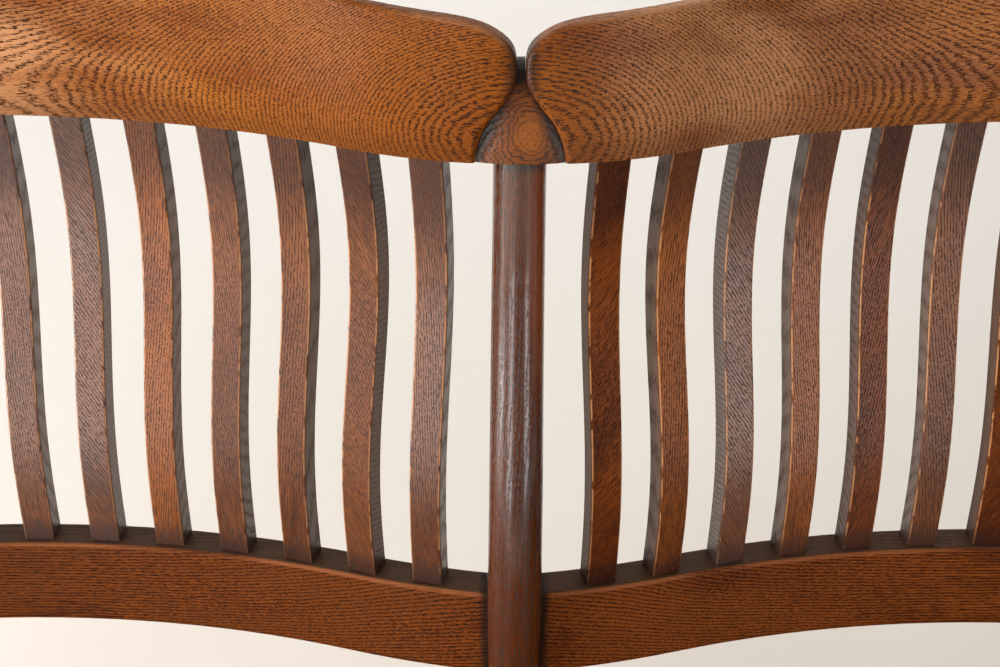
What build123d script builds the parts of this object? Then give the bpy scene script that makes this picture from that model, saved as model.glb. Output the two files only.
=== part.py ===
from build123d import *
import os
from math import asin, cos, degrees, pi, radians, sin, sqrt

# Chair-back settee in oak: two wave-backed chairs side by side on one plank seat.
# Millimetres. +X to the right of someone who faces the back, +Y backward, +Z up.
# The back is drawn upright in its own frame: x across, y backward, z along its height from the
# top of the lower rails. It is then raked and set on the seat.

# Whole frame
chair_pitch = 600.0
seat_height = 440.0
back_rake = 10.0
rail_gap = 70.0
glue_gap = 0.1
tenon_end_gap = 1.0
overrun = 20.0
half_chair = chair_pitch / 2
slats_per_chair = 13

# Back slats
slat_width = 18.6
slat_thickness = 15.2
slat_reach = 271.0
slat_arris = 1.3
lumbar_bend = 8.2
back_hollow = 5.0
slat_tenon = 14.0
tenon_shoulder = 1.6
slat_margin_low = 53.5
slat_margin_high = 50.5
slat_inset_low = 4.0
slat_inset_high = 8.0
slat_bend_points = 12

# Lower rails
rail_height = 54.0
rail_top_depth = 23.0
rail_foot_forward = 9.0
rail_post_angle = 6.5
rail_flank_angle = 17.0
rail_reverse_reach = 99.0
rail_arris = 3.2
rail_tenon_height = 34.0
rail_tenon_thickness = 9.0
rail_tenon_inset = 7.0
rail_tenon = 12.0

# Crest rails and keystone
crest_setback = 8.0
crest_height = 86.0
crest_shoulder_height = 76.5
crest_shoulder_reach = 72.0
crest_foot_depth = 30.0
crest_top_depth = 8.0
crest_waist_depth = 15.5
crest_waist_share = 0.84
crest_back_top_lean = 0.5
crest_back_foot_lean = 0.3
crest_belly = 2.0
crest_belly_share = 0.28
crest_rollback = 13.0
crest_flank_angle = 27.5
crest_reverse_reach = 90.0
crest_end_reach = 37.0
crest_arris = 2.8
crest_back_round = 4.5
keystone_height = 50.6
keystone_half_width = 23.0
keystone_dome_depth = 22.0
keystone_dome_half_width = 42.0
keystone_dome_rise = 52.0
crest_dowel_radius = 4.0
crest_dowel_reach = 30.0
crest_dowel_height = 34.0
short_dowel_height = 12.0
short_dowel_length = 22.0

# Back posts
post_width = 32.0
post_top_width = 28.0
post_foot_width = 26.5
post_depth = 36.0
post_top_depth = 27.0
post_foot_depth = 30.0
post_front_depth = 15.0
post_nose = 19.0
post_bend = 5.2
post_corner = 5.0
post_foot_radius = 12.5
post_tenon_width = 17.0
post_tenon_thickness = 13.0
post_tenon = 22.0
post_bend_sections = 8
half_turn = 180.0

# Seat
seat_thickness = 38.0
seat_depth = 485.0
seat_behind_posts = 45.0
seat_end_margin = 36.0
seat_board_count = 3
seat_corner = 34.0
seat_edge = 9.0
scoop_radius = 190.0
scoop_depth = 9.0
scoop_behind_front = 235.0
seat_dowel_radius = 5.0
seat_dowel_length = 60.0
seat_dowels_per_joint = 5
seat_dowel_height_share = 0.4

# Legs
leg_end_inset = 74.0
leg_front_inset = 62.0
leg_rear_inset = 91.0
leg_side_splay = 40.0
leg_front_splay = 34.0
leg_rear_splay = 62.0
leg_tenon_radius = 13.0
leg_neck_radius = 17.0
leg_swell_radius = 22.5
leg_ankle_radius = 14.0
leg_bead_radius = 19.0
leg_foot_radius = 15.5
leg_bead_width = 9.0
leg_bead_shares = (0.22, 0.90)

# Stretchers
stretcher_height = 150.0
stretcher_tenon_radius = 8.0
stretcher_end_radius = 9.5
stretcher_swell_radius = 15.0
stretcher_tenon = 15.0
stretcher_axis_gap = 4.0

# Arms and arm posts
arm_height = 655.0
arm_thickness = 25.0
arm_rear_width = 40.0
arm_front_width = 72.0
arm_length = 392.0
arm_edge = 6.0
arm_tenon_width = 22.0
arm_tenon_thickness = 12.0
arm_tenon = 16.0
arm_post_setback = 72.0
arm_post_tenon_radius = 11.0
arm_post_top_tenon = 15.0
arm_post_neck_radius = 14.0
arm_post_swell_radius = 20.0
arm_post_bead_radius = 17.6
arm_post_bead_width = 6.0
arm_post_bead_shares = (0.12, 0.86)

# Through tenons and their wedges
tenon_root = 6.0
wedge_mouth = 3.0
wedge_length = 26.0

rail_top_height = seat_height + rail_gap + rail_height * cos(radians(back_rake))
back_frame = Plane(
    origin=(0, 0, rail_top_height),
    x_dir=(1, 0, 0),
    z_dir=(0, sin(radians(back_rake)), cos(radians(back_rake))),
)


def s_bend(share, bulge=lumbar_bend):
    """Forward bulge low down and hollow above it, over the exposed height of a slat or post."""
    return back_hollow * sin(pi * share) - bulge * sin(2 * pi * share)


def s_bend_slope(share, bulge=lumbar_bend):
    """Slope of the bend, for the straight runs below its foot and above its head."""
    return pi * (back_hollow * cos(pi * share) - 2 * bulge * cos(2 * pi * share)) / slat_reach


def runs_along(edge, direction, least=0.5):
    """Whether the middle of an edge runs in a direction, more or less."""
    return abs(edge.tangent_at(0.5).dot(Vector(*direction))) > least


class Wave:
    """Plan curve of one chair's rail: a reverse arc at each post and one long hollow between."""

    def __init__(self, post_angle, flank_angle, reverse_reach):
        self.post = radians(post_angle)
        self.flank = radians(flank_angle)
        self.reach = reverse_reach
        self.small = reverse_reach / (sin(self.flank) - sin(self.post))
        self.large = (half_chair - reverse_reach) / sin(self.flank)

    def depth(self, x):
        """How far the curve lies behind the centre post at x, measured from the centre post."""
        x = min(x, chair_pitch - x)
        start = self.small * sin(self.post)
        top = self.small * cos(self.post)
        if x <= self.reach:
            return top - sqrt(self.small**2 - (x + start) ** 2)
        turn = self.small * (cos(self.post) - cos(self.flank))
        drop = sqrt(self.large**2 - (half_chair - x) ** 2) - self.large * cos(self.flank)
        return turn + drop

    def point(self, x):
        return Vector(x, self.depth(x), 0)

    def path(self, tail=0.0):
        """The curve as three tangent arcs, with a straight tail past the outer post."""
        knots = (0, self.reach, chair_pitch - self.reach, chair_pitch)
        arcs = [
            ThreePointArc(self.point(a), self.point((a + b) / 2), self.point(b))
            for a, b in zip(knots, knots[1:])
        ]
        if tail:
            end = self.point(chair_pitch)
            arcs.append(Line(end, end + Vector(tail, 0, 0)))
        return Wire(arcs)

    def start_plane(self):
        return Plane(
            origin=(0, 0, 0),
            x_dir=(-sin(self.post), cos(self.post), 0),
            z_dir=(cos(self.post), sin(self.post), 0),
        )

    def stations(self, margin):
        """Evenly spaced places along the curve, as points and angles, one for each slat."""
        path = self.path()
        spacing = (path.length - 2 * margin) / (slats_per_chair - 1)
        places = []
        for index in range(slats_per_chair):
            distance = margin + index * spacing
            place = path.position_at(distance, PositionMode.LENGTH)
            along = path.tangent_at(distance, PositionMode.LENGTH)
            places.append((place, asin(along.Y)))
        return places


rail_wave = Wave(rail_post_angle, rail_flank_angle, rail_reverse_reach)
crest_wave = Wave(0, crest_flank_angle, crest_reverse_reach)


def lies_left(shape):
    """The same piece for the left chair."""
    return mirror(shape, about=Plane.YZ)


def post_centre(height):
    """Centre line of a post, behind the front arris of the lower rails."""
    foot = post_depth / 2 - post_nose
    top = crest_setback + crest_foot_depth / 2
    lean = (top - foot) / slat_reach
    if height < 0:
        return foot + (lean + s_bend_slope(0, post_bend)) * height
    return foot + lean * height + s_bend(height / slat_reach, post_bend)


def post_size(height):
    """Width and depth of a post, which tapers both ways from the top of the lower rails."""
    if height < 0:
        share = -height / (rail_height + rail_gap)
        end_width, end_depth = post_foot_width, post_foot_depth
    else:
        share = height / slat_reach
        end_width, end_depth = post_top_width, post_top_depth
    width = post_width + (end_width - post_width) * share
    depth = post_depth + (end_depth - post_depth) * share
    return width, depth


def post_section(height, clearance=0.0, rear_reach=0.0):
    """Cross-section of a post: half ellipse at the front, flat sides, rounded rear corners."""
    width, depth = post_size(height)
    half = width / 2 + clearance
    front = post_front_depth + clearance
    nose = post_centre(height) - depth / 2 - clearance
    spring = nose + front
    back = nose + depth + 2 * clearance + rear_reach
    rear = Polyline((-half, spring), (-half, back), (half, back), (half, spring))
    nose_curve = EllipticalCenterArc((0, spring), half, front, half_turn, arc_size=half_turn)
    section = make_face([nose_curve, rear])
    corners = section.vertices().filter_by(lambda vertex: vertex.Y > back - post_corner)
    return Pos(0, 0, height) * fillet(corners, post_corner)


def post_body(clearance=0.0, rear_reach=0.0):
    """A back post in the back's frame, from below the seat's face to the underside of the crest."""
    foot = -(rail_height + rail_gap + overrun)
    below = [foot, foot / 2]
    above = [slat_reach * step / post_bend_sections for step in range(post_bend_sections + 1)]
    return loft([post_section(height, clearance, rear_reach) for height in below + above])


def post_foot_place():
    """Where the centre line of a post meets the seat, in the settee's frame."""
    height = -(rail_height + rail_gap)
    foot = back_frame.from_local_coords(Vector(0, post_centre(height), height))
    return foot.Y


post_foot_y = post_foot_place()
seat_back_y = post_foot_y + seat_behind_posts
seat_front_y = seat_back_y - seat_depth
seat_half_length = chair_pitch + seat_end_margin


def box_between(low, high):
    """Box from its lowest to its highest corner."""
    size = [h - l for l, h in zip(low, high)]
    return Pos(*low) * Box(*size, align=Align.MIN)


def frame_on(origin, axis):
    """Frame with z along an axis, and x along the settee's length unless the axis lies there."""
    axis = axis.normalized()
    side = Vector(0, 1, 0) if abs(axis.X) > abs(axis.Z) else Vector(1, 0, 0)
    across = (side - axis * axis.dot(side)).normalized()
    return Plane(origin=origin, x_dir=across, z_dir=axis)


def rod(start, end, radius):
    """Plain round bar on the line from start to end."""
    align = (Align.CENTER, Align.CENTER, Align.MIN)
    return frame_on(start, end - start) * Cylinder(radius, (end - start).length, align=align)


def revolved(start, end, edges):
    """Solid turned about the line from start to end, from edges drawn as (radius, height)."""
    return frame_on(start, end - start) * revolve(Plane.XZ * make_face(edges), Axis.Z)


def turned(start, end, radii, extra=overrun):
    """Turned bar through (share of length, radius) pairs, plain for an extra length past both ends."""
    length = (end - start).length
    points = [(radius, share * length) for share, radius in radii]
    foot, head = points[0][0], points[-1][0]
    outline = [
        Line((0, -extra), (foot, -extra)),
        Line((foot, -extra), points[0]),
        Spline(*points, tangents=[(0, 1), (0, 1)]),
        Line(points[-1], (head, length + extra)),
        Line((head, length + extra), (0, length + extra)),
        Line((0, length + extra), (0, -extra)),
    ]
    return revolved(start, end, outline)


def bead(start, end, share, radius, width):
    """Ring with a rounded edge, standing on a turned bar."""
    middle = start + (end - start) * share
    half = width / 2
    outline = [
        Line((0, -half), (radius - half, -half)),
        ThreePointArc((radius - half, -half), (radius, 0), (radius - half, half)),
        Line((radius - half, half), (0, half)),
        Line((0, half), (0, -half)),
    ]
    return revolved(middle, middle + (end - start), outline)


def slab_between(low, high):
    """Level slab that cuts a leaning piece to its shoulders."""
    reach = 2 * chair_pitch
    return box_between((-reach, -reach, low), (reach, reach, high))


def split_tenon(root, head, radius):
    """Through tenon from its root to its head, split by a wedge: the tenon and the wedge."""
    axis = (head - root).normalized()
    lift = radius / 2
    mouth = wedge_mouth / 2 * (1 + lift / wedge_length)
    profile = make_face(Polyline((-mouth, lift), (mouth, lift), (0, -wedge_length), close=True))
    blade = frame_on(head, axis) * extrude(Plane.XZ * profile, radius * 2, both=True)
    tenon = rod(root, head + axis * lift, radius)
    return tenon - blade, tenon & blade


# Lower rails: sawn to the wave, butted and tenoned to the sides of the posts
rail_corners = (
    (0, 0),
    (rail_top_depth, 0),
    (rail_top_depth, -rail_height),
    (-rail_foot_forward, -rail_height),
)
rail_section = make_face(Polyline(*rail_corners, close=True))
rail_section = fillet(rail_section.vertices(), rail_arris)
rail_blank = sweep(rail_wave.start_plane() * rail_section, rail_wave.path())
scribe = post_body(glue_gap, overrun)
rail_right = rail_blank - scribe - Pos(chair_pitch, 0, 0) * scribe


def rail_tenon_at(side, clearance=0.0):
    """Tenon on the centre post's side of a lower rail, or its mortise with a clearance."""
    length = 2 * rail_tenon + clearance
    tenon = Box(
        length,
        rail_tenon_thickness + 2 * clearance,
        rail_tenon_height + 2 * clearance,
        align=(Align.MAX, Align.CENTER, Align.CENTER),
    )
    tenon = Pos(post_width / 2 + rail_tenon, rail_tenon_inset, -rail_height / 2) * tenon
    return tenon if side > 0 else lies_left(tenon)


rail_right += rail_tenon_at(1)
rail_right += Pos(chair_pitch, 0, 0) * rail_tenon_at(-1)

# Slats: one S-shaped bar with rounded arrises, set between two stations of the rails
low_stations = rail_wave.stations(slat_margin_low)
high_stations = crest_wave.stations(slat_margin_high)


def slat_bar(length):
    """S-shaped bar along z, its front face centred on the z axis at both shoulders."""
    foot_run = Vector(s_bend_slope(0) * overrun, overrun)
    head_run = Vector(s_bend_slope(1) * overrun, overrun)

    def face_curves(offset):
        shares = [step / slat_bend_points for step in range(slat_bend_points + 1)]
        bend = [Vector(s_bend(share) + offset, share * length) for share in shares]
        foot, head = bend[0] - foot_run, bend[-1] + head_run
        curves = [
            Line(foot, bend[0]),
            Spline(*bend, tangents=[foot_run, head_run]),
            Line(bend[-1], head),
        ]
        return curves, foot, head

    front, front_foot, front_head = face_curves(0)
    back, back_foot, back_head = face_curves(slat_thickness)
    ends = [Line(front_foot, back_foot), Line(front_head, back_head)]
    side = Pos(-slat_width / 2, 0, 0) * (Plane.YZ * make_face(front + back + ends))
    bar = extrude(side, slat_width, dir=(1, 0, 0))
    return fillet(bar.edges().filter_by(lambda edge: runs_along(edge, (0, 0, 1))), slat_arris)


def slat_places(index):
    """Front centre of a slat on the lower rail and under the crest, and its turn about its length."""
    low, low_angle = low_stations[index]
    high, high_angle = high_stations[index]
    foot = low + Vector(0, slat_inset_low, 0)
    head = high + Vector(0, crest_setback + slat_inset_high, slat_reach)
    return foot, head, (low_angle + high_angle) / 2


def slat_tenon_at(place, turn, rise, clearance=0.0, end_gap=0.0):
    """Shouldered tenon standing on a slat's end, or its mortise with a clearance and an end gap."""
    width = slat_width - 2 * tenon_shoulder + 2 * clearance
    thickness = slat_thickness - 2 * tenon_shoulder + 2 * clearance
    align = (Align.CENTER, Align.CENTER, Align.MIN if rise > 0 else Align.MAX)
    block = Box(width, thickness, slat_tenon + end_gap, align=align)
    return Pos(*place) * Rot(0, 0, degrees(turn)) * Pos(0, slat_thickness / 2, 0) * block


def slat(index):
    """One slat of the right chair in the back's frame, cut to its shoulders, with both tenons."""
    foot, head, turn = slat_places(index)
    rise = head - foot
    across = Vector(cos(turn), sin(turn), 0)
    across = (across - rise * (across.dot(rise) / rise.dot(rise))).normalized()
    frame = Plane(origin=foot, x_dir=across, z_dir=rise)
    slab = box_between((0, -half_chair, 0), (chair_pitch, half_chair, slat_reach))
    bar = (frame * slat_bar(rise.length)) & slab
    return bar + slat_tenon_at(foot, turn, -1) + slat_tenon_at(head, turn, 1)


right_slats = [slat(index) for index in range(slats_per_chair)]

# Crest rails: sawn to the wave, the face rolled back above a belly, lobes carved at the ends
keystone_flank_shares = ((1.0, 0.0), (0.91, 0.24), (0.76, 0.40), (0.50, 0.56), (0.20, 0.76), (0.10, 1.0))
lobe_shoulder_shares = ((0.139, 0.85), (0.292, 0.924), (0.62, 0.972))


def flank_points(gap=0.0):
    """Flank of the keystone from its foot to its neck, on the right side of the centre."""
    return [
        (share_x * keystone_half_width + gap, share_z * keystone_height)
        for share_x, share_z in keystone_flank_shares
    ]


def crest_outline():
    """Front outline of the right crest rail, with the same lobe at both ends."""
    flank = flank_points()
    far = chair_pitch + crest_end_reach + flank[-1][0]
    shoulder = (crest_shoulder_reach, crest_shoulder_height)
    lobe = [(x * shoulder[0], z * shoulder[1]) for x, z in lobe_shoulder_shares]
    lobe = [flank[-1]] + lobe + [shoulder]
    slope = 4 * (crest_height - crest_shoulder_height) / (far - 2 * crest_shoulder_reach)

    def flipped(points):
        return [(far - x, z) for x, z in reversed(points)]

    outer_flank, outer_lobe = flipped(flank), flipped(lobe)
    return make_face(
        [
            Spline(*flank, tangents=[(0, 1), (0, 1)]),
            Spline(*lobe, tangents=[(0, 1), (1, slope)]),
            ThreePointArc(shoulder, (far / 2, crest_height), outer_lobe[0]),
            Spline(*outer_lobe, tangents=[(1, -slope), (0, -1)]),
            Spline(*outer_flank, tangents=[(0, -1), (0, -1)]),
            Line(outer_flank[-1], flank[0]),
        ]
    )


def through(face):
    """A front outline carried straight through the back."""
    return extrude(Pos(0, chair_pitch, 0) * (Plane.XZ * face), 2 * chair_pitch, dir=(0, -1, 0))


def behind_crest(edge):
    """Whether an edge of the crest lies behind the middle of its depth."""
    middle = edge.position_at(0.5)
    return middle.Y - crest_wave.depth(middle.X) > crest_foot_depth / 2


def on_carved_edge(edge):
    """Whether an edge of the crest follows its carved outline, above its underside."""
    return runs_along(edge, (1, 0, 0), 0.25) and edge.position_at(0.5).Z > crest_arris


def on_carved_front(edge):
    """Whether an edge of the crest follows its carved outline in front."""
    return on_carved_edge(edge) and not behind_crest(edge)


def on_carved_back(edge):
    """Whether an edge of the crest follows its carved outline at the back."""
    return on_carved_edge(edge) and behind_crest(edge)


belly_height = crest_height * crest_belly_share
section_top = crest_height + overrun
crest_section = make_face(
    [
        Spline((0, 0), (-crest_belly, belly_height), (crest_rollback, section_top)),
        Line((crest_rollback, section_top), (crest_rollback + crest_top_depth, section_top)),
        Spline(
            (crest_rollback + crest_top_depth, section_top),
            (crest_waist_depth, crest_height * crest_waist_share),
            (crest_foot_depth, belly_height),
            tangents=[(-crest_back_top_lean, -1), (crest_back_foot_lean, -1)],
        ),
        Line((crest_foot_depth, belly_height), (crest_foot_depth, 0)),
        Line((crest_foot_depth, 0), (0, 0)),
    ]
)
crest_path = crest_wave.path(crest_end_reach + overrun)
crest_blank = sweep(crest_wave.start_plane() * crest_section, crest_path)
crest_right = crest_blank & through(crest_outline())
crest_right = fillet(crest_right.edges().filter_by(on_carved_back), crest_back_round)
crest_right = fillet(crest_right.edges().filter_by(on_carved_front), crest_arris)

# Keystone: domed block between the lobes, over the centre post
flank = flank_points(-glue_gap)
key_face = make_face(
    [
        Line((0, 0), flank[0]),
        Spline(*flank, tangents=[(0, 1), (0, 1)]),
        Line(flank[-1], (0, keystone_height)),
        Line((0, keystone_height), (0, 0)),
    ]
)
dome = scale(
    Sphere(1.0),
    by=(keystone_dome_half_width, keystone_dome_depth, keystone_dome_rise),
)
dome = Pos(0, keystone_dome_depth, 0) * dome
dome += box_between(
    (-keystone_half_width, keystone_dome_depth, 0),
    (keystone_half_width, crest_foot_depth * 2, keystone_height),
)
key_half = crest_blank & through(key_face) & dome
keystone = key_half + lies_left(key_half)


# Joints of the crest: a through dowel in the neck of the keystone, a short one in each flank
crest_place = Pos(0, crest_setback, slat_reach)
crest_mid_depth = crest_foot_depth / 2


def dowel_between(low, high, height, clearance=0.0):
    """Dowel across the crest joint from low to high, or its bore with a clearance."""
    start = Vector(low, crest_mid_depth, height)
    end = Vector(high, crest_mid_depth, height)
    return rod(start, end, crest_dowel_radius + clearance)


short_dowel_start = post_tenon_width / 2 + crest_dowel_radius / 2
crest_dowel_lines = (
    (-crest_dowel_reach, crest_dowel_reach, crest_dowel_height),
    (short_dowel_start, short_dowel_start + short_dowel_length, short_dowel_height),
    (-short_dowel_start - short_dowel_length, -short_dowel_start, short_dowel_height),
)
crest_dowels = [dowel_between(*line) for line in crest_dowel_lines]
for low, high, height in crest_dowel_lines:
    bore = dowel_between(low - glue_gap, high + glue_gap, height, glue_gap)
    keystone -= bore
    crest_right -= bore

keystone = crest_place * keystone
crest_right = crest_place * crest_right
crest_dowels = [crest_place * dowel for dowel in crest_dowels]


def post_tenon_at(clearance=0.0, end_gap=0.0):
    """Tenon on the head of a back post, or its mortise with a clearance and an end gap."""
    centre = post_centre(slat_reach)
    half_width = post_tenon_width / 2 + clearance
    half_depth = post_tenon_thickness / 2 + clearance
    return box_between(
        (-half_width, centre - half_depth, slat_reach - clearance),
        (half_width, centre + half_depth, slat_reach + post_tenon + end_gap),
    )


keystone -= post_tenon_at(glue_gap, tenon_end_gap)
crest_right -= Pos(chair_pitch, 0, 0) * post_tenon_at(glue_gap, tenon_end_gap)

for index in range(slats_per_chair):
    foot, head, turn = slat_places(index)
    rail_right -= slat_tenon_at(foot, turn, -1, glue_gap, tenon_end_gap)
    crest_right -= slat_tenon_at(head, turn, 1, glue_gap, tenon_end_gap)

# Back posts: sawn to an easy S, rounded in front, wedged through the seat
post_blank = post_body() & slab_between(-rail_height - rail_gap - overrun, slat_reach)
post_blank += post_tenon_at()


def post_at(x, sides):
    """A back post standing on the seat at x, mortised on the sides that carry a lower rail."""
    post = post_blank
    for side in sides:
        post -= rail_tenon_at(side, glue_gap)
    post = (back_frame * post) & slab_between(seat_height, 2 * chair_pitch)
    root = Vector(0, post_foot_y, seat_height + tenon_root)
    tip = Vector(0, post_foot_y, seat_height - seat_thickness)
    tenon, wedge = split_tenon(root, tip, post_foot_radius)
    tenon &= slab_between(tip.Z, root.Z)
    wedge &= slab_between(tip.Z, seat_height)
    return Pos(x, 0, 0) * (post + tenon), Pos(x, 0, 0) * wedge


centre_post, centre_wedge = post_at(0, (1, -1))
right_post, right_wedge = post_at(chair_pitch, (-1,))

# Arms: sawn flat, scribed and tenoned to the outer posts, on turned arm posts
arm_outer_shares = ((0.34, 0.40), (0.58, 0.82))
arm_inner_shares = ((-0.42, 0.82), (-0.17, 0.42))
arm_tip_share = 0.08
arm_height_on_back = (arm_height - arm_thickness / 2 - rail_top_height) / cos(radians(back_rake))
arm_joint = Vector(0, post_centre(arm_height_on_back), arm_height_on_back)
arm_rear_y = back_frame.from_local_coords(arm_joint).Y
arm_shoulder_y = arm_rear_y - post_depth / 2


def arm_plan():
    """Plan outline of the right arm, forward from the middle of its back post."""
    def at(share_x, share_y):
        return (chair_pitch + share_x * arm_front_width, arm_rear_y - share_y * arm_length)

    rear_outer = (chair_pitch + arm_rear_width / 2, arm_rear_y)
    rear_inner = (chair_pitch - arm_rear_width / 2, arm_rear_y)
    outer = [rear_outer] + [at(*share) for share in arm_outer_shares]
    inner = [at(*share) for share in arm_inner_shares] + [rear_inner]
    return make_face(
        [
            Spline(*outer, tangents=[(0, -1), (0, -1)]),
            Spline(outer[-1], at(arm_tip_share, 1), inner[0], tangents=[(0, -1), (0, 1)]),
            Spline(*inner, tangents=[(0, 1), (0, 1)]),
            Line(rear_inner, rear_outer),
        ]
    )


arm_right = Pos(0, 0, arm_height - arm_thickness) * extrude(arm_plan(), arm_thickness)
arm_arrises = arm_right.edges().filter_by(lambda edge: edge.length > arm_rear_width)
arm_right = fillet(arm_arrises, arm_edge) - Pos(chair_pitch, 0, 0) * (back_frame * scribe)


def arm_tenon_at(clearance=0.0):
    """Tenon on the rear end of the right arm, or its mortise with a clearance."""
    middle = arm_height - arm_thickness / 2
    half_width = arm_tenon_width / 2 + clearance
    half_height = arm_tenon_thickness / 2 + clearance
    return box_between(
        (chair_pitch - half_width, arm_shoulder_y - arm_tenon, middle - half_height),
        (chair_pitch + half_width, arm_shoulder_y + arm_tenon + clearance, middle + half_height),
    )


arm_right += arm_tenon_at()
right_post -= arm_tenon_at(glue_gap)

arm_post_x = chair_pitch + arm_tip_share * arm_front_width
arm_post_y = arm_rear_y - arm_length + arm_post_setback
arm_post_foot = Vector(arm_post_x, arm_post_y, seat_height)
arm_post_top = Vector(arm_post_x, arm_post_y, arm_height - arm_thickness)
arm_post_radii = (
    (0.0, arm_post_bead_radius),
    (0.10, arm_post_neck_radius),
    (0.42, arm_post_swell_radius),
    (0.84, arm_post_neck_radius),
    (1.0, arm_post_neck_radius),
)
arm_post_right = turned(arm_post_foot, arm_post_top, arm_post_radii)
arm_post_right &= slab_between(arm_post_foot.Z, arm_post_top.Z)
for share in arm_post_bead_shares:
    arm_post_right += bead(arm_post_foot, arm_post_top, share, arm_post_bead_radius, arm_post_bead_width)
root_length = Vector(0, 0, tenon_root)
top_tenon_end = arm_post_top + Vector(0, 0, arm_post_top_tenon)
top_bore_end = top_tenon_end + Vector(0, 0, glue_gap)
arm_post_right += rod(arm_post_top - root_length, top_tenon_end, arm_post_tenon_radius)
arm_right -= rod(arm_post_top - root_length, top_bore_end, arm_post_tenon_radius + glue_gap)
arm_post_tip = arm_post_foot - Vector(0, 0, seat_thickness)
arm_post_root = arm_post_foot + root_length
arm_post_stub, arm_post_wedge = split_tenon(arm_post_root, arm_post_tip, arm_post_tenon_radius)
arm_post_right += arm_post_stub & slab_between(arm_post_tip.Z, arm_height)
arm_post_wedge &= slab_between(arm_post_tip.Z, arm_height)

# Legs: turned, splayed and wedged through the seat
seat_underside = seat_height - seat_thickness
leg_x = seat_half_length - leg_end_inset
leg_front_y = seat_front_y + leg_front_inset
leg_rear_y = seat_back_y - leg_rear_inset
leg_radii = (
    (0.02, leg_foot_radius),
    (0.16, leg_ankle_radius),
    (0.30, leg_ankle_radius),
    (0.62, leg_swell_radius),
    (0.92, leg_neck_radius),
    (0.98, leg_neck_radius),
)


def leg_line(side, row):
    """Foot and shoulder of a leg's axis: side is -1, 0 or 1 and row is -1 in front, 1 behind."""
    y = leg_front_y if row < 0 else leg_rear_y
    splay = leg_front_splay if row < 0 else leg_rear_splay
    shoulder = Vector(side * leg_x, y, seat_underside)
    foot = Vector(side * (leg_x + leg_side_splay), y + row * splay, 0)
    return foot, shoulder


def on_leg(side, row, height):
    """Point on a leg's axis at a height above the floor."""
    foot, shoulder = leg_line(side, row)
    return foot + (shoulder - foot) * (height / seat_underside)


def leg_and_wedge(side, row):
    """One turned leg with its through tenon, and the wedge that spreads it."""
    foot, shoulder = leg_line(side, row)
    leg = turned(foot, shoulder, leg_radii) & slab_between(0, seat_underside)
    for share in leg_bead_shares:
        leg += bead(foot, shoulder, share, leg_bead_radius, leg_bead_width)
    root = on_leg(side, row, seat_underside - tenon_root)
    tenon, wedge = split_tenon(root, on_leg(side, row, seat_height), leg_tenon_radius)
    level = slab_between(0, seat_height)
    return leg + (tenon & level), wedge & level


# Stretchers: turned, a swelling in the middle, round tenons that stop short of the axes they meet
stretcher_radii = (
    (0.0, stretcher_tenon_radius),
    (0.10, stretcher_end_radius),
    (0.5, stretcher_swell_radius),
    (0.90, stretcher_end_radius),
    (1.0, stretcher_tenon_radius),
)


def stretcher_between(start, end):
    """Stretcher between two axes, and the bores for its tenons."""
    along = (end - start).normalized()
    reach = stretcher_axis_gap + stretcher_tenon
    bar = turned(start + along * reach, end - along * reach, stretcher_radii, stretcher_tenon)
    depth = along * (stretcher_axis_gap - glue_gap)
    mouth = along * (reach + overrun)
    radius = stretcher_tenon_radius + glue_gap
    return bar, rod(start + depth, start + mouth, radius), rod(end - mouth, end - depth, radius)


def midway(side):
    """Middle of a side stretcher's axis."""
    return (on_leg(side, -1, stretcher_height) + on_leg(side, 1, stretcher_height)) / 2


side_names = {-1: "left", 0: "centre", 1: "right"}
row_names = {-1: "front", 1: "rear"}
legs, leg_wedges, side_stretchers, long_stretchers = {}, [], {}, {}
for side in side_names:
    for row in row_names:
        legs[side, row], wedge = leg_and_wedge(side, row)
        leg_wedges.append(wedge)
    start, end = on_leg(side, -1, stretcher_height), on_leg(side, 1, stretcher_height)
    side_stretchers[side], front_bore, rear_bore = stretcher_between(start, end)
    legs[side, -1] -= front_bore
    legs[side, 1] -= rear_bore
for side in (-1, 1):
    bar, centre_bore, side_bore = stretcher_between(midway(0), midway(side))
    long_stretchers[side] = bar
    side_stretchers[0] -= centre_bore
    side_stretchers[side] -= side_bore

# Seat: edge-glued boards, two scooped places, bored for legs, back posts and arm posts
seat_centre_y = (seat_front_y + seat_back_y) / 2
seat_plan = RectangleRounded(2 * seat_half_length, seat_depth, seat_corner)
seat = Pos(0, seat_centre_y, seat_underside) * extrude(seat_plan, seat_thickness)
seat = fillet(seat.edges().filter_by(Plane.XY), seat_edge)
scoop_sphere = (scoop_radius**2 + scoop_depth**2) / (2 * scoop_depth)
scoop_y = seat_front_y + scoop_behind_front
scoop_z = seat_height - scoop_depth + scoop_sphere
for side in (-1, 1):
    seat -= Pos(side * half_chair, scoop_y, scoop_z) * Sphere(scoop_sphere)
for side in side_names:
    for row in row_names:
        bore_top = on_leg(side, row, seat_height + overrun)
        seat -= rod(on_leg(side, row, seat_underside - overrun), bore_top, leg_tenon_radius + glue_gap)
for x in (-chair_pitch, 0, chair_pitch):
    bore_foot = Vector(x, post_foot_y, seat_underside - overrun)
    seat -= rod(bore_foot, bore_foot + Vector(0, 0, seat_height), post_foot_radius + glue_gap)
for x in (-arm_post_x, arm_post_x):
    bore_foot = Vector(x, arm_post_y, seat_underside - overrun)
    seat -= rod(bore_foot, bore_foot + Vector(0, 0, seat_height), arm_post_tenon_radius + glue_gap)

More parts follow.
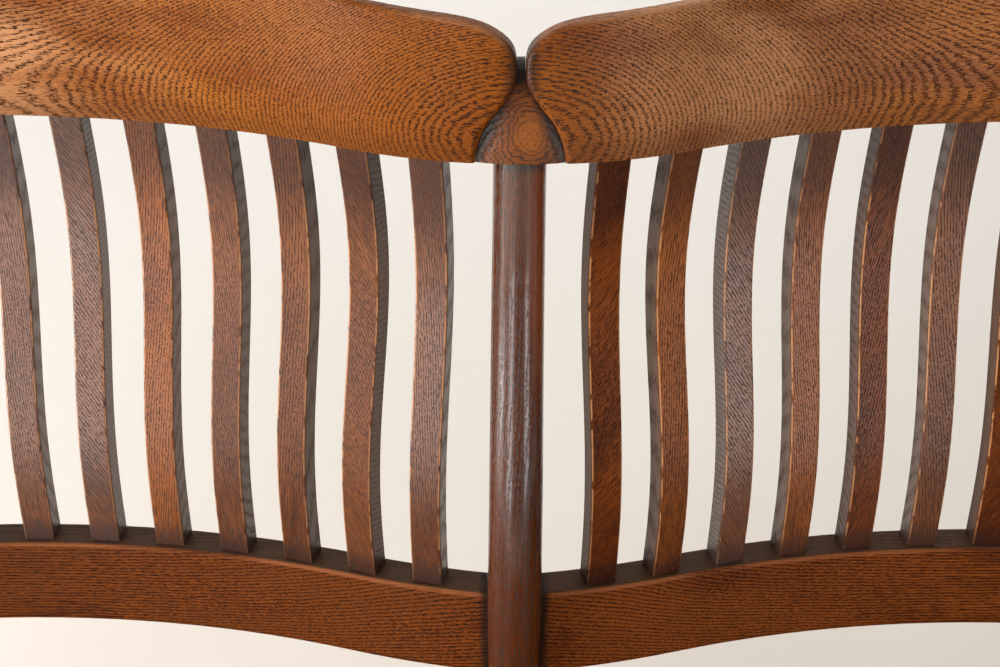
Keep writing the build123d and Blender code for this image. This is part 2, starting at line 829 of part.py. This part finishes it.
board_depth = seat_depth / seat_board_count
joint_ys = [seat_front_y + board_depth * joint for joint in range(1, seat_board_count)]
seat_dowels = []
for joint_y in joint_ys:
    for index in range(seat_dowels_per_joint):
        share = (2 * index + 1) / seat_dowels_per_joint - 1
        height = seat_underside + seat_thickness * seat_dowel_height_share
        middle = Vector(share * seat_half_length, joint_y, height)
        half_dowel = Vector(0, seat_dowel_length / 2, 0)
        half_bore = half_dowel + Vector(0, tenon_end_gap, 0)
        seat_dowels.append(rod(middle - half_dowel, middle + half_dowel, seat_dowel_radius))
        seat -= rod(middle - half_bore, middle + half_bore, seat_dowel_radius + glue_gap)


def board(index):
    """One of the seat's boards, counted from the front."""
    low_y = seat_front_y + board_depth * index
    low_corner = (-2 * chair_pitch, low_y, 0)
    high_corner = (2 * chair_pitch, low_y + board_depth, 2 * seat_height)
    return seat & box_between(low_corner, high_corner)


# Every piece by the name that a maker would use
post_wedges = [centre_wedge]
for wedge in (right_wedge, arm_post_wedge):
    post_wedges += [wedge, lies_left(wedge)]
in_place = {
    "crest_rail_right": back_frame * crest_right,
    "crest_rail_left": back_frame * lies_left(crest_right),
    "crest_keystone": back_frame * keystone,
    "lower_rail_right": back_frame * rail_right,
    "lower_rail_left": back_frame * lies_left(rail_right),
    "centre_post": centre_post,
    "right_post": right_post,
    "left_post": lies_left(right_post),
    "arm_right": arm_right,
    "arm_left": lies_left(arm_right),
    "arm_post_right": arm_post_right,
    "arm_post_left": lies_left(arm_post_right),
    "long_stretcher_left": long_stretchers[-1],
    "long_stretcher_right": long_stretchers[1],
    "crest_dowels": Compound(children=[back_frame * dowel for dowel in crest_dowels]),
    "seat_dowels": Compound(children=seat_dowels),
    "leg_wedges": Compound(children=leg_wedges),
    "post_wedges": Compound(children=post_wedges),
}
for index, name in enumerate(("front", "middle", "rear")):
    in_place[f"seat_board_{name}"] = board(index)
for side, side_name in side_names.items():
    in_place[f"stretcher_{side_name}"] = side_stretchers[side]
    for row, row_name in row_names.items():
        in_place[f"leg_{row_name}_{side_name}"] = legs[side, row]
for index, bar in enumerate(right_slats, start=1):
    in_place[f"right_slat_{index:02d}"] = back_frame * bar
    in_place[f"left_slat_{index:02d}"] = back_frame * lies_left(bar)

# The origin is the middle of the settee's box, on the floor
whole = Compound(children=[solid for piece in in_place.values() for solid in piece.solids()]).bounding_box()
middle = (whole.min + whole.max) / 2
to_origin = Pos(-middle.X, -middle.Y, -whole.min.Z)
os.makedirs("parts", exist_ok=True)
for name, piece in in_place.items():
    solids = [to_origin * solid for solid in piece.solids()]
    export_step(Compound(children=solids) if len(solids) > 1 else solids[0], f"parts/{name}.step")
print("pieces", len(in_place), "size", whole.size, "shift", to_origin.position)
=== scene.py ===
from math import atan2, cos, pi, radians, sin, tan

import bpy
from mathutils import Euler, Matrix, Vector


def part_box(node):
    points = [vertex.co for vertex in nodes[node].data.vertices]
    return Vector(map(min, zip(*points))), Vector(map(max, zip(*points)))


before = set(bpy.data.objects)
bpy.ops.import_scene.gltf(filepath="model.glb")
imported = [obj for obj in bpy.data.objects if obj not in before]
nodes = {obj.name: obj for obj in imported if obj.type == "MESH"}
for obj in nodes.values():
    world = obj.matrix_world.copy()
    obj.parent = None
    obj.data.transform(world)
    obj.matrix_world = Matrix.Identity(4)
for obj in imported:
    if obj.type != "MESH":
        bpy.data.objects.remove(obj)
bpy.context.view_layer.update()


# Seat boards
# Three oak boards glued edge to edge, with two shallow scooped places. The face is planed, stained
# and waxed, and use has rubbed it paler in patches.
class Value:
    """A number that varies over a surface, written in ordinary sums."""

    def __init__(self, finish, socket):
        self.finish = finish
        self.socket = socket

    def _maths(self, operation, *others):
        settings = {"operation": operation}
        inputs = dict(enumerate((self, *others)))
        return Value(self.finish, self.finish.node("ShaderNodeMath", settings, inputs).outputs[0])

    def __add__(self, other):
        return self._maths("ADD", other)

    __radd__ = __add__

    def __sub__(self, other):
        return self._maths("SUBTRACT", other)

    def __rsub__(self, other):
        return (self * -1.0) + other

    def __mul__(self, other):
        return self._maths("MULTIPLY", other)

    __rmul__ = __mul__

    def __truediv__(self, other):
        return self._maths("DIVIDE", other)

    def __pow__(self, other):
        return self._maths("POWER", other)

    def __abs__(self):
        return self._maths("ABSOLUTE")

    def fract(self):
        return self._maths("FRACT")

    def most(self, other):
        return self._maths("MAXIMUM", other)

    def rise(self, low, high):
        """0 below low and 1 above high, with a smooth rise between."""
        settings = {"interpolation_type": "SMOOTHSTEP"}
        inputs = {"Value": self, "From Min": low, "From Max": high}
        return Value(self.finish, self.finish.node("ShaderNodeMapRange", settings, inputs).outputs[0])

    def band(self, centre, half_width):
        """1 at the centre, falling smoothly to 0 at half a width to each side."""
        return 1.0 - abs(self - centre).rise(0.0, half_width)


class Finish:
    """One material, built up from nodes."""

    def __init__(self, name):
        self.material = bpy.data.materials.new(name)
        self.material.use_nodes = True
        self.tree = self.material.node_tree
        self.shader = self.tree.nodes["Principled BSDF"]

    def node(self, kind, settings=None, inputs=None):
        """A node of one kind, with its settings first and then the values or links of its sockets."""
        made = self.tree.nodes.new(kind)
        for name, setting in (settings or {}).items():
            setattr(made, name, setting)
        for name, value in (inputs or {}).items():
            self.feed(made.inputs[name], value)
        return made

    def feed(self, socket, value):
        if isinstance(value, Value):
            value = value.socket
        if isinstance(value, bpy.types.NodeSocket):
            self.tree.links.new(value, socket)
        else:
            socket.default_value = value

    def vector(self, x, y, z):
        return self.node("ShaderNodeCombineXYZ", inputs={0: x, 1: y, 2: z}).outputs[0]

    def along_axis(self, socket, axis, offset=0.0):
        """How far a vector reaches along an axis, less an offset."""
        inputs = {0: socket, 1: tuple(axis)}
        dot = self.node("ShaderNodeVectorMath", {"operation": "DOT_PRODUCT"}, inputs)
        return Value(self, dot.outputs["Value"]) - offset

    def noise(self, vector, detail):
        inputs = {"Vector": vector, "Scale": 1.0, "Detail": detail, "Roughness": 0.5}
        return Value(self, self.node("ShaderNodeTexNoise", inputs=inputs).outputs[0])

    def mix(self, share, first, second):
        inputs = {0: share, 6: first, 7: second}
        return self.node("ShaderNodeMix", {"data_type": "RGBA"}, inputs).outputs[2]

    def finish_off(self, colour, roughness, height, relief):
        """Colour, roughness and relief into the shader."""
        bump = self.node("ShaderNodeBump", inputs={"Strength": 1.0, "Distance": relief, "Height": height})
        self.feed(self.shader.inputs["Base Color"], colour)
        self.feed(self.shader.inputs["Roughness"], roughness)
        self.feed(self.shader.inputs["Normal"], bump.outputs[0])


millimetres = 1000.0
golden_oak = ((0.44, 0.138, 0.012, 1), (0.20, 0.046, 0.003, 1), (0.024, 0.007, 0.003, 1))


class Oak(Finish):
    """Stained oak: growth rings round a pith, open pores drawn out along the grain, cloudy stain.

    The grain runs along one axis, and the piece's front looks along the face axis. The pith lies so far
    across and in front of the origin, and leans by the tilt as it runs along. A ring is as wide as ring
    says, its edge is as uneven as ragged says, and a pore is as long as dash. The colours are those of
    pale wood, warm wood and pores. Pith, ring and dash are in millimetres, the origin in metres.
    """

    def __init__(
        self,
        name,
        origin,
        grain,
        face,
        pith,
        ring,
        tilt=0.0,
        seed=0.0,
        colours=golden_oak,
        ragged=0.5,
        dash=5.0,
    ):
        super().__init__(name)
        grain, face = Vector(grain).normalized(), Vector(face).normalized()
        side = grain.cross(face).normalized()
        self.place = self.node("ShaderNodeTexCoord")
        self.seed = seed
        self.along, self.across, self.deep = (self.distance(origin, axis) for axis in (grain, side, face))
        self.pale, self.warm, self.dark = colours
        wander = self.streak(length=120.0, width=45.0, detail=1.0) - 0.5
        shiver = self.streak(length=18.0, width=6.0, detail=1.0) - 0.5
        self.row = self.streak(length=dash, width=0.6, detail=1.0)
        from_pith = ((self.across - pith[0]) ** 2.0 + (self.deep - pith[1]) ** 2.0) ** 0.5
        rings = (from_pith + self.along * tilt) / ring + wander * 1.6 + shiver * 0.7 + self.row * ragged
        phase = rings.fract()
        self.early = phase.rise(0.0, 0.06) * (1.0 - phase.rise(0.30, 0.42))
        self.late = phase.rise(0.45, 0.95)
        self.fibre = self.streak(length=45.0, width=0.45, detail=2.0)
        self.cloud = self.streak(length=150.0, width=40.0, detail=3.0)
        grit = self.streak(length=dash * 0.8, width=0.5, detail=1.0)
        self.pores = (self.early * grit.rise(0.40, 0.50)).most(grit.rise(0.62, 0.70) * 0.7)

    def distance(self, origin, axis):
        """How far a point lies from an origin along an axis, in millimetres."""
        axis = Vector(axis)
        offset = Vector(origin).dot(axis) * millimetres
        return self.along_axis(self.place.outputs["Object"], axis * millimetres, offset)

    def facing(self, axis):
        """How squarely the surface looks along an axis."""
        return self.along_axis(self.place.outputs["Normal"], Vector(axis).normalized())

    def streak(self, length, width, detail):
        """Noise drawn out along the grain."""
        spread = self.vector(self.along / length + self.seed, self.across / width, self.deep / width)
        return self.noise(spread, detail)

    def wood(self, contrast=0.9):
        """Colour of the clean wood, before wear and dirt."""
        shade = (self.cloud * 1.1 + self.fibre * 1.1 + self.late * 0.1).rise(0.80, 1.36)
        colour = self.mix(shade, self.warm, self.pale)
        return self.mix(self.pores * contrast, colour, self.dark)

    def wear(self, *faces):
        """1 on the rounded arris between two faces, given by their outward directions."""
        first, second = (self.facing(face) for face in faces)
        return (first.most(0.0) * second.most(0.0) * 2.0).rise(0.25, 0.85)

    def done(self, colour, gloss=0.0, shine=0.3, relief=0.16):
        """The finished surface: gloss smooths it, shine makes it reflect, and relief sinks its pores."""
        self.shader.inputs["Specular IOR Level"].default_value = shine
        roughness = self.fibre * 0.14 + self.pores * 0.30 + self.cloud * 0.10 + (0.24 - gloss)
        self.finish_off(colour, roughness, self.fibre * 0.22 - self.pores, relief / millimetres)


def dress(node, finish):
    """Gives a piece its finish, and its node keeps its shape."""
    nodes[node].data.materials.clear()
    nodes[node].data.materials.append(finish.material)


for number, name in enumerate(("front", "middle", "rear")):
    board = f"seat_board_{name}"
    low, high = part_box(board)
    finish = Oak(
        f"{name} seat board",
        (0, (low.y + high.y) / 2, high.z),
        grain=(1, 0, 0),
        face=(0, 0, 1),
        pith=(20.0 * (number - 1), -75.0),
        ring=2.6,
        tilt=0.012,
        seed=3.7 * number,
    )
    wear_and_sheen_patch = finish.streak(length=260.0, width=170.0, detail=2.0).rise(0.45, 0.65)
    finish.done(finish.mix(wear_and_sheen_patch * 0.35, finish.wood(), finish.pale))
    dress(board, finish)

# Legs and stretchers
# Oak turned between centres and stained darker than the seat. The legs are splayed and wedged through
# the seat, and the stretchers are tenoned into them.
brown_oak = ((0.17, 0.044, 0.008, 1), (0.088, 0.020, 0.003, 1), (0.024, 0.008, 0.003, 1))
turned_pieces = ("leg_front", "leg_rear", "stretcher", "long_stretcher")
turnings = sorted(name for name in nodes if name.startswith(turned_pieces))
for number, name in enumerate(turnings):
    low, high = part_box(name)
    if name.startswith("long_stretcher"):
        grain, face = (1, 0, 0), (0, 0, 1)
    elif name.startswith("stretcher"):
        grain, face = (0, 1, 0), (0, 0, 1)
    else:
        grain, face = (0, 0, 1), (0, -1, 0)
    finish = Oak(
        name.replace("_", " "),
        (low + high) / 2,
        grain=grain,
        face=face,
        pith=(8.0 - number % 5 * 9.0, -34.0),
        ring=2.2,
        tilt=0.03,
        seed=1.9 * number,
        colours=brown_oak,
    )
    finish.done(finish.wood())
    dress(name, finish)

# Back posts
# Sawn to the bend of the back from thick oak, rounded in front with a spokeshave, tenoned at both ends
# and stained a dark red-brown. The right side shows redder, and the top under the crest is painted near
# black as painted shade.
back_rake = radians(10.0)
back_origin = Vector((0.0, 0.1524, 0.5632))
back_up = Vector((0.0, sin(back_rake), cos(back_rake)))
back_front = Vector((0.0, -cos(back_rake), sin(back_rake)))
chair_pitch = 0.6
slat_reach = 271.0
# How far below the crest the post is painted near black, as painted shade.
post_shade_height = 9.0
post_oak = ((0.105, 0.023, 0.004, 1), (0.052, 0.010, 0.002, 1), (0.012, 0.004, 0.002, 1))
ruddy_oak = (0.24, 0.052, 0.006, 1)
# Near black: painted shade under the crest and in the corners at the post and beside the keystone, with old
# polish in those corners and in the joint of the crest rails.
black_shade_and_grime = (0.012, 0.007, 0.005, 1)
posts = {"centre_post": 0.0, "left_post": -chair_pitch, "right_post": chair_pitch}
for number, (name, x) in enumerate(posts.items()):
    place = back_origin + Vector((x, 0, 0))
    finish = Oak(
        name.replace("_", " "),
        place,
        grain=back_up,
        face=back_front,
        pith=(-60.0, -18.0),
        ring=2.3,
        tilt=0.01,
        seed=5.3 * number,
        colours=post_oak,
        ragged=1.0,
        dash=8.0,
    )
    height = finish.distance(place, back_up)
    sideways = finish.distance(place, (1, 0, 0))
    ruddy = sideways.rise(1.0, 9.0) * finish.cloud.rise(0.30, 0.55) * height.rise(60.0, 200.0)
    # Painted shade: the top of the post, under the crest, is painted near black.
    shade_under_crest = height.rise(slat_reach - post_shade_height, slat_reach)
    colour = finish.mix(ruddy * 0.7, finish.wood(), ruddy_oak)
    colour = finish.mix(shade_under_crest, colour, black_shade_and_grime)
    finish.done(colour, gloss=0.19, shine=0.85, relief=0.05)
    dress(name, finish)

# Lower rails
# Sawn to a wave, tenoned into the posts, with a rounded arris that hands have rubbed paler. The top is
# dusty between the slats, and the rail face in the corner at the post is painted near black: painted shade,
# with old polish.
rail_oak = ((0.26, 0.062, 0.006, 1), (0.072, 0.014, 0.002, 1), (0.012, 0.004, 0.002, 1))
rubbed_rail = (0.36, 0.115, 0.040, 1)
dark_dust = (0.040, 0.022, 0.013, 1)
pale_dust = (0.085, 0.048, 0.028, 1)
shade_corner_start = 17.0
shade_corner_end = 23.0
rail_stain = {"left": 0.35, "right": 0.15}
for number, (side, stain) in enumerate(rail_stain.items()):
    finish = Oak(
        f"lower rail {side}",
        back_origin,
        grain=(1, 0, 0),
        face=back_front,
        pith=(-40.0, -85.0),
        ring=1.9,
        seed=7.7 * number,
        colours=rail_oak,
    )
    from_middle = abs(finish.distance((0, 0, 0), (1, 0, 0)))
    worn = finish.wear(back_front, back_up) * finish.cloud.rise(0.35, 0.60)
    top = finish.facing(back_up).rise(0.75, 0.95)
    # Painted shade, with old polish: the rail face is painted near black in the corner beside the post.
    shade_and_polish_corner = 1.0 - from_middle.rise(shade_corner_start, shade_corner_end)
    colour = finish.mix(finish.cloud.rise(0.40, 0.60) * stain, finish.wood(), finish.dark)
    colour = finish.mix(worn * 0.75, colour, rubbed_rail)
    colour = finish.mix(top * 0.85, colour, finish.mix(finish.fibre, dark_dust, pale_dust))
    colour = finish.mix(shade_and_polish_corner * 0.85, colour, black_shade_and_grime)
    finish.done(colour, shine=0.08)
    dress(f"lower_rail_{side}", finish)

# Slats
# Square bars sawn to an S and tenoned at both ends. Each was cut from another piece of board, so
# grain and stain change from slat to slat; the arrises are rubbed bright. The sides are painted a darker,
# greyer brown as painted shade, and the slat is painted darker towards its ends as painted shade, with old
# polish in the joints.
plain_slat = ((0.240, 0.074, 0.018, 1), (0.105, 0.027, 0.006, 1), (0.020, 0.008, 0.005, 1))
orange_slat = ((0.370, 0.100, 0.010, 1), (0.150, 0.034, 0.004, 1), (0.022, 0.008, 0.003, 1))
dark_slat = ((0.230, 0.052, 0.004, 1), (0.062, 0.012, 0.001, 1), (0.011, 0.004, 0.002, 1))
bare_arris = (0.68, 0.30, 0.12, 1)
# The sides of the slats, painted a darker, greyer brown than the face as painted shade.
shaded_flank_dark = (0.065, 0.026, 0.011, 1)
shaded_flank_pale = (0.125, 0.053, 0.022, 1)
# Near black: old polish in the joints, and painted shade towards the ends of the slats.
polish_and_shade = (0.022, 0.009, 0.008, 1)
slats_per_chair = 13
# From the centre post outward, over and over: the stain, the lean of the grain in degrees, the shine.
slat_looks = {
    "left": (
        (plain_slat, -5, 0.7),
        (plain_slat, -28, 0.4),
        (plain_slat, 3, 0.4),
        (plain_slat, -9, 0.5),
        (orange_slat, 6, 0.5),
        (plain_slat, -34, 0.8),
    ),
    "right": (
        (dark_slat, 34, 0.1),
        (orange_slat, 4, 0.3),
        (plain_slat, -30, 1.0),
        (orange_slat, -4, 0.5),
        (dark_slat, 14, 0.3),
        (plain_slat, -8, 0.5),
    ),
}
first_seed = {"left": 0.0, "right": 41.0}
for side, looks in slat_looks.items():
    middles = [sum(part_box(f"{side}_slat_{n:02d}"), Vector()) / 2 for n in range(1, slats_per_chair + 1)]
    for number, middle in enumerate(middles):
        before, after = middles[max(number - 1, 0)], middles[min(number + 1, slats_per_chair - 1)]
        run = (after - before) if side == "right" else (before - after)
        turn = atan2(run.y, run.x)
        across = Vector((cos(turn), sin(turn), 0))
        face = across.cross(back_up)
        oak, lean, shine = looks[number % len(looks)]
        finish = Oak(
            f"{side} slat {number + 1:02d}",
            middle,
            grain=back_up + across * tan(radians(lean)),
            face=face,
            pith=(300.0, -20.0),
            ring=1.5 + 0.2 * (number % 3),
            tilt=0.01,
            seed=2.3 * number + first_seed[side],
            colours=oak,
            ragged=1.0,
            dash=9.0,
        )
        height = finish.distance(back_origin, back_up)
        # Painted shade, with old polish at the joints: the slat is painted darker towards the rail and
        # towards the crest.
        shaded_foot = (1.0 - height.rise(2.0, 30.0)).most(0.35 - height.rise(20.0, 120.0) * 0.35)
        ends = shaded_foot.most(height.rise(slat_reach - 75.0, slat_reach - 20.0) * 0.75)
        # Painted shade: the sides of the slat are found by which way they face and painted darker and
        # greyer.
        shaded_flank = abs(finish.facing(across)).rise(0.70, 0.85)
        arris = finish.wear(face, across).most(finish.wear(face, -across))
        worn = arris * finish.streak(length=12.0, width=9.0, detail=3.0).rise(0.38, 0.52)
        colour = finish.mix(worn * 0.9, finish.wood(contrast=0.85), bare_arris)
        colour = finish.mix(shaded_flank * 0.9, colour, finish.mix(finish.fibre, shaded_flank_dark, shaded_flank_pale))
        colour = finish.mix(ends * 0.8, colour, polish_and_shade)
        finish.done(colour, gloss=0.04, shine=shine)
        dress(f"{side}_slat_{number + 1:02d}", finish)

# Crest rails
# Sawn to the wave from thick flat-sawn oak, so that the saw crosses the growth rings and lays them out
# as nested arcs. The lobes are carved, and the top edge is rounded over and rubbed paler. A painted sheen
# lightens the outer part of the left rail and a band across the right rail, and the rail is painted darker
# towards its bottom edge as painted shade.
crest_pith = (-276.0, 95.0)
# The colour of the painted sheen on the crest rails.
painted_sheen_orange = (0.62, 0.30, 0.14, 1)
rubbed_edge = (0.42, 0.20, 0.10, 1)
# Painted shade towards the bottom edge of the crest rails.
painted_shade_brown = (0.10, 0.026, 0.004, 1)
# Each rail: its side, ring width, seed, how far the darker lobe reaches, the strength of its painted sheen,
# and its shine.
for side, ring, seed, lobe_reach, sheen_strength, shine in (
    ("left", 1.0, 0.0, 260.0, 0.95, 0.10),
    ("right", 1.2, 17.3, 70.0, 0.65, 0.25),
):
    finish = Oak(
        f"crest rail {side}",
        back_origin,
        grain=(1, 0, 0),
        face=back_front,
        pith=crest_pith,
        ring=ring,
        seed=seed,
        ragged=1.3,
    )
    from_middle = abs(finish.distance((0, 0, 0), (1, 0, 0)))
    height = finish.distance(back_origin, back_up) - slat_reach
    # Painted sheen: the outer part of the left rail and a band across the right rail are painted paler and
    # brighter.
    wear_and_sheen_patch = from_middle.rise(150.0, 330.0) if side == "left" else from_middle.band(115.0, 100.0)
    pale = wear_and_sheen_patch * finish.cloud.rise(0.25, 0.55) * (1.0 - finish.pores)
    lobe = 1.0 - from_middle.rise(30.0, lobe_reach)
    worn = finish.wear(back_front, back_up) * finish.cloud.rise(0.35, 0.60)
    # Painted shade: the crest rail is painted darker towards its bottom edge.
    shaded_foot = 1.0 - height.rise(2.0, 22.0)
    joint = 1.0 - from_middle.rise(4.0, 12.0)
    colour = finish.mix(pale * sheen_strength, finish.wood(), painted_sheen_orange)
    colour = finish.mix(lobe * 0.70, colour, finish.mix(finish.pores, finish.warm, finish.dark))
    colour = finish.mix(worn * 0.45, colour, rubbed_edge)
    colour = finish.mix(shaded_foot * 0.45, colour, painted_shade_brown)
    colour = finish.mix(joint * 0.7, colour, black_shade_and_grime)
    finish.done(colour, shine=shine)
    dress(f"crest_rail_{side}", finish)

# Keystone between the lobes
# A domed block of the same oak, carved back to the lobes and stopped flush below, so that its rings
# close into an eye. It is dowelled to the rails. Its edges beside the lobes and its upper end are painted
# near
# black: painted shade, with dark polish in the corners.
keystone_oak = ((0.30, 0.085, 0.012, 1), (0.13, 0.030, 0.004, 1), (0.022, 0.008, 0.004, 1))
bright_eye = (0.42, 0.12, 0.014, 1)
eye_sideways = 5.0
eye_height = 15.0
eye_ring = 2.8
finish = Oak(
    "keystone",
    back_origin,
    grain=(1, 0, 0),
    face=back_front,
    pith=crest_pith,
    ring=1.25,
    seed=4.4,
    colours=keystone_oak,
)
sideways = finish.distance((0, 0, 0), (1, 0, 0))
height = finish.distance(back_origin, back_up) - slat_reach
from_eye = ((sideways - eye_sideways) ** 2.0 + ((height - eye_height) * 0.85) ** 2.0) ** 0.5
waver = finish.row * 1.2 + finish.streak(length=9.0, width=5.0, detail=1.0) * 2.5
rings = (from_eye / eye_ring + waver).fract()
lines = rings.rise(0.0, 0.08) * (1.0 - rings.rise(0.30, 0.45))
# Painted shade, with dark polish: the keystone's edges beside the lobes and its upper end are painted near
# black.
shaded_flank = (abs(sideways) + height * 0.42).rise(16.0, 24.0).most(height.rise(32.0, 45.0))
colour = finish.mix(finish.cloud.rise(0.35, 0.65), finish.warm, finish.pale)
colour = finish.mix(lines * 0.8, colour, finish.dark)
colour = finish.mix((1.0 - from_eye.rise(2.0, 12.0)) * 0.5, colour, bright_eye)
colour = finish.mix(shaded_flank * 0.92, colour, black_shade_and_grime)
finish.done(colour, shine=0.4)
dress("crest_keystone", finish)

# Arms and arm posts
# Flat sawn arms, broadened at the hand, rounded all round and tenoned into the outer posts, on turned
# arm posts of the darker stain.
for number, side in enumerate(("left", "right")):
    low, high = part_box(f"arm_{side}")
    finish = Oak(
        f"{side} arm",
        (low + high) / 2,
        grain=(0, 1, 0),
        face=(0, 0, 1),
        pith=(12.0, -60.0),
        ring=2.3,
        tilt=0.02,
        seed=6.1 * number,
    )
    finish.done(finish.wood())
    dress(f"arm_{side}", finish)
    low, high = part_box(f"arm_post_{side}")
    finish = Oak(
        f"{side} arm post",
        (low + high) / 2,
        grain=(0, 0, 1),
        face=(0, -1, 0),
        pith=(10.0, -30.0),
        ring=2.2,
        tilt=0.03,
        seed=8.9 * number,
        colours=brown_oak,
    )
    finish.done(finish.wood())
    dress(f"arm_post_{side}", finish)

# Dowels and wedges
# Straight-grained oak pegs, glued and driven: only the ends of the wedges show, flush with the seat.
peg_finish = Oak("pegs", (0, 0, 0), grain=(0, 0, 1), face=(0, -1, 0), pith=(400.0, 90.0), ring=1.6)
peg_finish.done(peg_finish.wood())
for name in ("crest_dowels", "seat_dowels", "leg_wedges", "post_wedges"):
    dress(name, peg_finish)

# Floor and backdrop
# One pale paper sheet that lies on the floor and sweeps up behind, a little lighter at the back.
floor_colour = (0.80, 0.735, 0.655, 1)
wall_colour = (0.94, 0.90, 0.85, 1)
sheet_width = 16.0
sheet_front = -6.0
sheet_back = 3.2
sheet_height = 4.5
sheet_bend = 1.2
bend_steps = 12
profile = [(sheet_front, 0.0)]
for step in range(bend_steps + 1):
    angle = step / bend_steps * pi / 2
    profile.append((sheet_back - sheet_bend + sheet_bend * sin(angle), sheet_bend - sheet_bend * cos(angle)))
profile.append((sheet_back, sheet_height))
corners = [(x, y, z) for x in (-sheet_width / 2, sheet_width / 2) for y, z in profile]
count = len(profile)
faces = [(i, i + count, i + count + 1, i + 1) for i in range(count - 1)]
mesh = bpy.data.meshes.new("backdrop")
mesh.from_pydata(corners, [], faces)
for polygon in mesh.polygons:
    polygon.use_smooth = True
backdrop = bpy.data.objects.new("backdrop", mesh)
bpy.context.scene.collection.objects.link(backdrop)
paper = Finish("backdrop paper")
behind = paper.along_axis(paper.node("ShaderNodeTexCoord").outputs["Object"], (0, 1, 0))
paper.feed(paper.shader.inputs["Base Color"], paper.mix(behind.rise(0.3, 2.3), floor_colour, wall_colour))
paper.shader.inputs["Roughness"].default_value = 0.9
mesh.materials.append(paper.material)

# Studio light
# A dim room with two tall soft boxes on the left, a weaker one on the right, and a wide one overhead
# that lights the floor.
world = bpy.data.worlds.new("room")
world.use_nodes = True
world.node_tree.nodes["Background"].inputs["Color"].default_value = (1.0, 0.99, 0.97, 1)
world.node_tree.nodes["Background"].inputs["Strength"].default_value = 0.15
bpy.context.scene.world = world
aim = Vector((0.0, 0.15, 0.7))
for name, place, size, power in (
    ("left front soft box", (-1.27, -2.35, 1.1), (1.0, 1.9), 26.0),
    ("left side soft box", (-2.57, -0.68, 1.1), (1.5, 1.9), 110.0),
    ("right soft box", (1.8, -2.0, 1.1), (0.9, 1.9), 20.0),
    ("top soft box", (0.0, 1.3, 3.4), (4.0, 3.0), 62.0),
):
    lamp = bpy.data.lights.new(name, "AREA")
    lamp.shape = "RECTANGLE"
    lamp.size, lamp.size_y = size
    lamp.energy = power
    box = bpy.data.objects.new(name, lamp)
    box.location = place
    box.rotation_euler = (aim - Vector(place)).to_track_quat("-Z", "Y").to_euler()
    bpy.context.scene.collection.objects.link(box)

# Camera
# Just in front of the seat and 1.2 m up, with a lens of about 49 mm, looking down at the middle of
# the back.
sensor_width = 36.0
focal_pixels = 1370.0
image_width = 1000.0
camera_data = bpy.data.cameras.new("camera")
camera_data.sensor_width = sensor_width
camera_data.lens = focal_pixels / image_width * sensor_width
camera_data.clip_start = 0.05
camera = bpy.data.objects.new("camera", camera_data)
camera.location = (-0.01155, -0.40078, 1.18823)
camera.rotation_euler = Euler((radians(52.379), radians(-0.356), radians(0.101)))
bpy.context.scene.collection.objects.link(camera)
bpy.context.scene.camera = camera
bpy.context.scene.view_settings.view_transform = "Standard"
